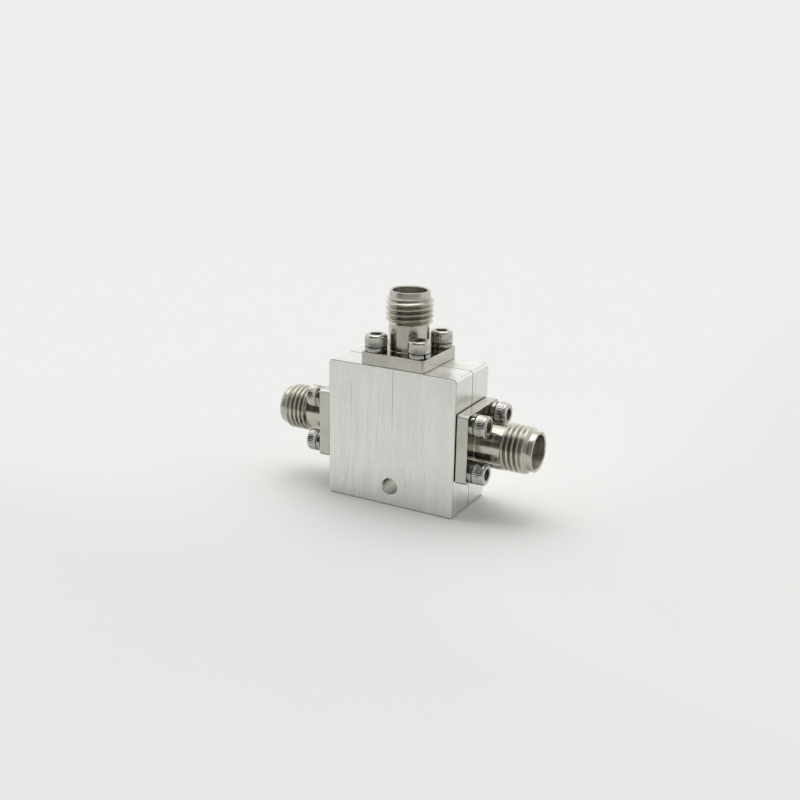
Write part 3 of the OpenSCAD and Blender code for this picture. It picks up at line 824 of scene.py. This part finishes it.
def screw_steel(name, seams=()):
    """Stainless steel of screws and washers.

    seams are for the screws of a flange: the levels of its face and of the washers' tops, where lines of
    painted shade lie. Those screws also have painted shade in their knurls, on their washers and on their
    sides towards the barrel.
    """
    material, tree, shader, place = new_material(name, Metallic=1.0)
    cloud = noise(tree, place, 1600, 3)
    color = mottled(tree, cloud, *STEEL)
    height = split(tree, place)[2]
    if seams:
        foot = seams[1]
        top = foot + HEAD_H - HEAD_ROUND
        folded = vector_node(tree, "ABSOLUTE", vector_node(tree, "MULTIPLY", place, (1, 1, 0)))
        radius = measure(tree, "DISTANCE", folded, (SCREW_PITCH / 2, SCREW_PITCH / 2, 0))
        # Painted shade in the knurl grooves
        knurl_shade = mapped(tree, radius, HEAD_R - KNURL_DEPTH, HEAD_R - 0.2 * KNURL_DEPTH, 0.2, 0)
        side = mapped(tree, radius, HEAD_R - 1.4 * KNURL_DEPTH, HEAD_R - 1.2 * KNURL_DEPTH, 0, 1)
        above = mapped(tree, height, foot, foot + 0.05 * MM, 0, 1)
        below = mapped(tree, height, top + 0.05 * MM, top + 0.15 * MM, 1, 0)
        color = mix_colors(tree, times(tree, knurl_shade, side, above, below), color, STEEL_KNURL_SHADE)
        # Painted shade on the sides towards the barrel
        from_barrel = measure(tree, "LENGTH", folded)
        inner = mapped(tree, from_barrel, 3.3 * MM, 4.7 * MM, 0.4, 0, smooth=True)
        color = mix_colors(tree, inner, color, STEEL_BARREL_SIDE_SHADE)
        # Painted shade on the washers and below them
        washer = mapped(tree, height, foot - 0.02 * MM, foot, 0.3, 0)
        color = mix_colors(tree, washer, color, STEEL_WASHER_SHADE)
    # Lines of painted shade at the seams
    for seam in seams:
        line = mapped(tree, apart(tree, height, seam), 0.04 * MM, 0.12 * MM, 0.9, 0)
        color = mix_colors(tree, line, color, SEAM_SHADE)
    set_surface(tree, shader, color, mapped(tree, cloud, 0.3, 0.7, 0.11, 0.2))
    set_bump(tree, shader, noise(tree, place, 9000), 0.0008 * MM)
    return material


def socket_dark():
    """Broached inside of the hexagon sockets, darker than the heads."""
    material, tree, shader, place = new_material("socket_dark", Metallic=1.0)
    marks = noise(tree, place, 3000, 3)
    color = mix_colors(tree, marks, *SOCKET_TONES)
    set_surface(tree, shader, color, mapped(tree, marks, 0.3, 0.7, 0.25, 0.45))
    return material


def plated_gold():
    """Gold plating of contacts, pins, seal rings, strips and ribbons."""
    material, tree, shader, place = new_material("plated_gold", Metallic=1.0)
    cloud = noise(tree, place, 1400, 3)
    color = mottled(tree, cloud, *GOLD)
    set_surface(tree, shader, color, mapped(tree, cloud, 0.3, 0.7, 0.16, 0.28))
    set_bump(tree, shader, noise(tree, place, 12000), 0.0006 * MM)
    return material


def turned_plastic():
    """Support beads: amber engineering plastic with turning marks."""
    material, tree, shader, place = new_material("turned_plastic")
    marks = noise(tree, place, 5000)
    color = mix_colors(tree, noise(tree, place, 700), *AMBER_PLASTIC)
    set_surface(tree, shader, color, mapped(tree, marks, 0.3, 0.7, 0.35, 0.5))
    set_bump(tree, shader, marks, 0.002 * MM)
    return material


def fused_glass():
    """Glass of the seals: dark blue-grey, smooth, with small bubbles."""
    material, tree, shader, place = new_material("fused_glass", Coat_Weight=0.3)
    spots = mapped(tree, cells(tree, place, 6000), 0.1, 0.25, 1, 0)
    color = mix_colors(tree, spots, *BLUE_GLASS)
    set_surface(tree, shader, color, mapped(tree, spots, 0, 1, 0.08, 0.2))
    return material


def ground_ceramic():
    """Ceramic lines: off-white with fine grinding marks."""
    material, tree, shader, place = new_material("ground_ceramic")
    grain = noise(tree, place, 9000, 3)
    color = mix_colors(tree, noise(tree, place, 600), *CERAMIC)
    set_surface(tree, shader, color, mapped(tree, grain, 0.3, 0.7, 0.4, 0.6))
    set_bump(tree, shader, grain, 0.001 * MM)
    return material


def chip_surface():
    """Mixer chip: dark semiconductor with a faint grid of metal."""
    material, tree, shader, place = new_material("chip_surface")
    pads = mapped(tree, cells(tree, place, 5000, "CHEBYCHEV"), 0.12, 0.16, 1, 0)
    color = mix_colors(tree, pads, *CHIP_AND_PADS)
    set_surface(tree, shader, color, mapped(tree, pads, 0, 1, 0.12, 0.3))
    return material


def absorber_foam():
    """Absorber: dark, dull, granular rubber."""
    material, tree, shader, place = new_material("absorber_foam")
    grains = cells(tree, place, 8000)
    color = mix_colors(tree, grains, *ABSORBER)
    set_surface(tree, shader, color, mapped(tree, grains, 0, 1, 0.9, 0.7))
    set_bump(tree, shader, grains, 0.01 * MM)
    return material


# The object


def port_place(port):
    """Matrix that puts a jack's own frame on its port."""
    if port == "top":
        return Matrix.Translation((0, 0, BODY_H))
    side = -1 if port == "left" else 1
    outwards = Matrix.Rotation(side * math.pi / 2, 4, "Y")
    return Matrix.Translation((side * BODY_W / 2, 0, SIDE_JACK_Z)) @ outwards


def flange_places(z):
    """The four screw places of a flange, in the order of the washers' gaps."""
    corners = [(1, -1), (1, 1), (-1, 1), (-1, -1)]
    return [Matrix.Translation((x * SCREW_PITCH / 2, y * SCREW_PITCH / 2, z)) for x, y in corners]


def cover_places():
    """The four cover screws, with +z out of the back face."""
    out = Matrix.Rotation(-math.pi / 2, 4, "X")
    return [Matrix.Translation((x, COVER_HEAD_Y, z)) @ out for x in (-COVER_X, COVER_X) for z in COVER_Z]


def stand_for(piece, node, place=None):
    """Puts a piece where its node is, and says so to the frame."""
    if place:
        piece.matrix_world = place
    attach(piece, "root")
    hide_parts(node)


def build_jacks(jack_finish, screw_finish):
    """Bodies, screws and lock washers of the three jacks."""
    for i, port in enumerate(PORTS):
        place = port_place(port)
        body = jack_shape(port, jack_finish)
        stand_for(body, f"{port}_jack_body", place)
        on_washers = flange_places(FLANGE_T + WASHER_T)
        heads = screws(f"{port}_socket_screws", JACK_SCREW_LEN, on_washers, screw_finish, JACK_TURN * i)
        stand_for(heads, f"{port}_jack_screws", place)
        rings = lock_washers(f"{port}_split_washers", flange_places(FLANGE_T), screw_finish[:1])
        stand_for(rings, f"{port}_lock_washers", place)


def dress_nodes(steel, satin):
    """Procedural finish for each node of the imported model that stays."""
    aluminium, gold = brushed_aluminium(), plated_gold()
    finishes = {
        "front_housing": aluminium,
        "rear_cover": aluminium,
        "alignment_pins": steel,
        "carrier_plate": gold,
        "metal_strips": gold,
        "bond_ribbons": gold,
        "mixer_chip": chip_surface(),
        "absorber_sheet": absorber_foam(),
    }
    of_each_port = {
        "contact": gold,
        "contact_tail": gold,
        "seal_ring": gold,
        "seal_pin": gold,
        "support_bead": turned_plastic(),
        "rear_bushing": satin,
        "seal_glass": fused_glass(),
        "ceramic_line": ground_ceramic(),
    }
    for port in PORTS:
        for piece, finish in of_each_port.items():
            finishes[f"{port}_{piece}"] = finish
    for name, finish in finishes.items():
        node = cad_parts[name]
        for material_slot in node.material_slots:
            material_slot.material = finish


# The studio


def build_camera():
    """Camera at the photograph's place, turned a little about its own line of sight."""
    back = Vector((
        math.sin(CAMERA_YAW) * math.cos(CAMERA_PITCH),
        -math.cos(CAMERA_YAW) * math.cos(CAMERA_PITCH),
        math.sin(CAMERA_PITCH),
    ))
    level_right = Vector((math.cos(CAMERA_YAW), math.sin(CAMERA_YAW), 0))
    level_up = back.cross(level_right)
    right = level_right * math.cos(CAMERA_ROLL) + level_up * math.sin(CAMERA_ROLL)
    up = level_up * math.cos(CAMERA_ROLL) - level_right * math.sin(CAMERA_ROLL)
    data = bpy.data.cameras.new("camera")
    data.sensor_width = SENSOR
    data.lens = FOCAL_PX / FRAME_PX * SENSOR
    data.clip_start = MM
    camera = bpy.data.objects.new("camera", data)
    turn = Matrix((right, up, back)).transposed().to_4x4()
    camera.matrix_world = Matrix.Translation(CAMERA_TARGET + back * CAMERA_DISTANCE) @ turn
    bpy.context.scene.collection.objects.link(camera)
    bpy.context.scene.camera = camera


def build_floor():
    """Pale round floor, with painted shade that makes it a little darker in front and on the right. It
    fades out, so no edge shows.
    """
    bm = bmesh.new()
    bmesh.ops.create_circle(bm, cap_ends=True, segments=96, radius=FLOOR_R)
    mesh = bpy.data.meshes.new("floor")
    bm.to_mesh(mesh)
    bm.free()
    floor = bpy.data.objects.new("floor", mesh)
    bpy.context.scene.collection.objects.link(floor)
    material, tree, shader, place = new_material("floor", Roughness=0.9, Specular_IOR_Level=0.2)
    to_right, forward, _ = split(tree, place)
    # Painted shade: the floor turns darker in front and on the right
    in_front = mapped(tree, forward, *FLOOR_SHADE_FRONT, 1, 0, smooth=True)
    on_right = mapped(tree, to_right, *FLOOR_SHADE_RIGHT, 0, 0.7, smooth=True)
    darker = math_node(tree, "MAXIMUM", in_front, on_right)
    tree.links.new(mix_colors(tree, darker, FLOOR_PALE, FLOOR_SHADED), shader.inputs["Base Color"])
    far = mapped(tree, measure(tree, "LENGTH", place), *FLOOR_FADE, 0, 1, smooth=True)
    near_lens = mapped(tree, forward, *FLOOR_FADE_FRONT, 1, 0, smooth=True)
    fade = math_node(tree, "MAXIMUM", far, near_lens)
    clear = add(tree, "BsdfTransparent").outputs[0]
    mixed = add(tree, "MixShader", {0: fade, 1: shader.outputs[0], 2: clear}).outputs[0]
    tree.links.new(mixed, tree.nodes["Material Output"].inputs["Surface"])
    mesh.materials.append(material)


def by_height(tree, height, stops):
    """Light at a height over the horizon, between stops of (degrees, light)."""
    peak = max(light for _, light in stops)
    ramp = add(tree, "ValToRGB", {"Fac": height})
    elements = ramp.color_ramp.elements
    while len(elements) < len(stops):
        elements.new(0.5)
    for element, (degrees, light) in zip(elements, stops):
        element.position = degrees / 90
        element.color = (light / peak, light / peak, light / peak, 1)
    return times(tree, ramp.outputs["Color"], peak)


def sky_point(yaw, rise):
    """Direction at an angle from -Y towards +X, and an angle over the horizon."""
    flat = math.cos(rise)
    return math.sin(yaw) * flat, -math.cos(yaw) * flat, math.sin(rise)


def build_world():
    """Light tent: a bright roof, pale walls, and a darker opening where the photographer stands.

    Heights over the horizon run from 0 to 1 at the zenith. The camera sees a plain pale backdrop.
    """
    world = bpy.data.worlds.new("studio")
    bpy.context.scene.world = world
    world.use_nodes = True
    tree = world.node_tree
    direction = add(tree, "TexCoord").outputs["Generated"]
    to_right, _, up = split(tree, direction)
    height = times(tree, math_node(tree, "ARCSINE", up), 2 / math.pi)

    # The opening, with its dark column
    level = vector_node(tree, "NORMALIZE", vector_node(tree, "MULTIPLY", direction, (1, 1, 0)))
    front = measure(tree, "DOT_PRODUCT", level, sky_point(OPENING_YAW, 0))
    outer, inner = math.cos(OPENING_HALF + OPENING_SOFT), math.cos(OPENING_HALF)
    across = mapped(tree, front, outer, inner, 0, 1, smooth=True)
    low, high = (OPENING_TOP - OPENING_TOP_SOFT) / 90, (OPENING_TOP + OPENING_TOP_SOFT) / 90
    opening = times(tree, across, mapped(tree, height, low, high, 1, 0, smooth=True))
    shade = mapped(tree, apart(tree, to_right, SHADE_SIDE), *SHADE_SPAN, SHADE_LEAST, 1, smooth=True)
    dark = times(tree, by_height(tree, height, OPENING_LIGHT), shade)
    room = blend(tree, opening, by_height(tree, height, TENT_LIGHT), dark)

    # The lamp, and the table below the horizon, which is darker towards the photographer
    close = measure(tree, "DOT_PRODUCT", direction, sky_point(LAMP_YAW, LAMP_RISE))
    outer, inner = (math.cos(angle) for angle in LAMP_SPAN)
    room = math_node(tree, "ADD", room, mapped(tree, close, outer, inner, 0, LAMP_LIGHT, smooth=True))
    near = times(tree, across, mapped(tree, height, -22 / 90, -8 / 90, 0, 1, smooth=True))
    table = blend(tree, near, GROUND_LIGHT, TABLE_LIGHT)
    ground = mapped(tree, height, -2 / 90, 0, 1, 0, smooth=True)
    light = blend(tree, ground, room, table)

    seen = mapped(tree, up, *BACKDROP_SPAN, *BACKDROP_LIGHT, smooth=True)
    is_camera = add(tree, "LightPath").outputs["Is Camera Ray"]
    background = tree.nodes["Background"]
    background.inputs["Color"].default_value = BACKDROP_COLOR
    tree.links.new(blend(tree, is_camera, light, seen), background.inputs["Strength"])


build_camera()
satin = jack_satin()
sockets = socket_dark()
cover_steel = screw_steel("screw_steel")
seated_steel = screw_steel("seated_screw_steel", (FLANGE_T, FLANGE_T + WASHER_T))
build_jacks([jack_polished(), satin, jack_bore()], [seated_steel, sockets])
cover_heads = screws("cover_socket_screws", COVER_SCREW_LEN, cover_places(), [cover_steel, sockets])
stand_for(cover_heads, "cover_screws")
dress_nodes(cover_steel, satin)
build_floor()
build_world()
bpy.context.scene.view_settings.view_transform = "Standard"
